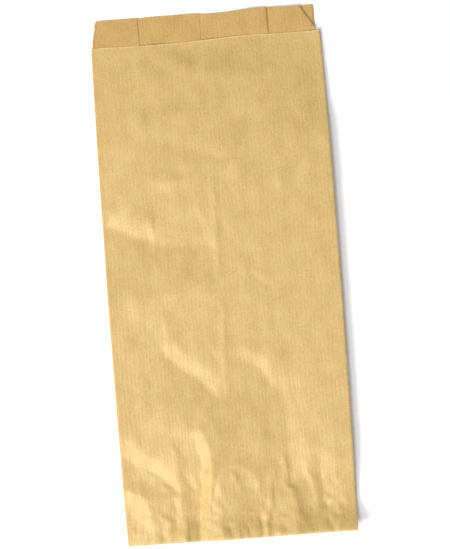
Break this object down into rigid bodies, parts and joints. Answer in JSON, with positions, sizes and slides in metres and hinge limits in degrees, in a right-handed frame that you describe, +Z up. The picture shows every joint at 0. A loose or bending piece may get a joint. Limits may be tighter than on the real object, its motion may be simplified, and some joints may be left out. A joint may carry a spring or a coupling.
{
  "type": "paper lunch bag",
  "caption": "Flat brown kraft paper lunch bag with side gussets, a lapped back seam, a foot turned under and glued, and a stepped mouth with a lip; holds food.",
  "frame": {"origin": "centre of the bag's outline on the surface that it lies on", "axes": "+X across the bag, +Y from the folded foot to the mouth, +Z up through the front panel"},
  "size_m": [0.14, 0.322, 0.008],
  "materials": {
    "kraft_paper": "ribbed brown kraft, lightly glazed outside and matte inside"
  },
  "bodies": {
    "root": {"paper_bag": "kraft_paper"}
  },
  "joints": []
}
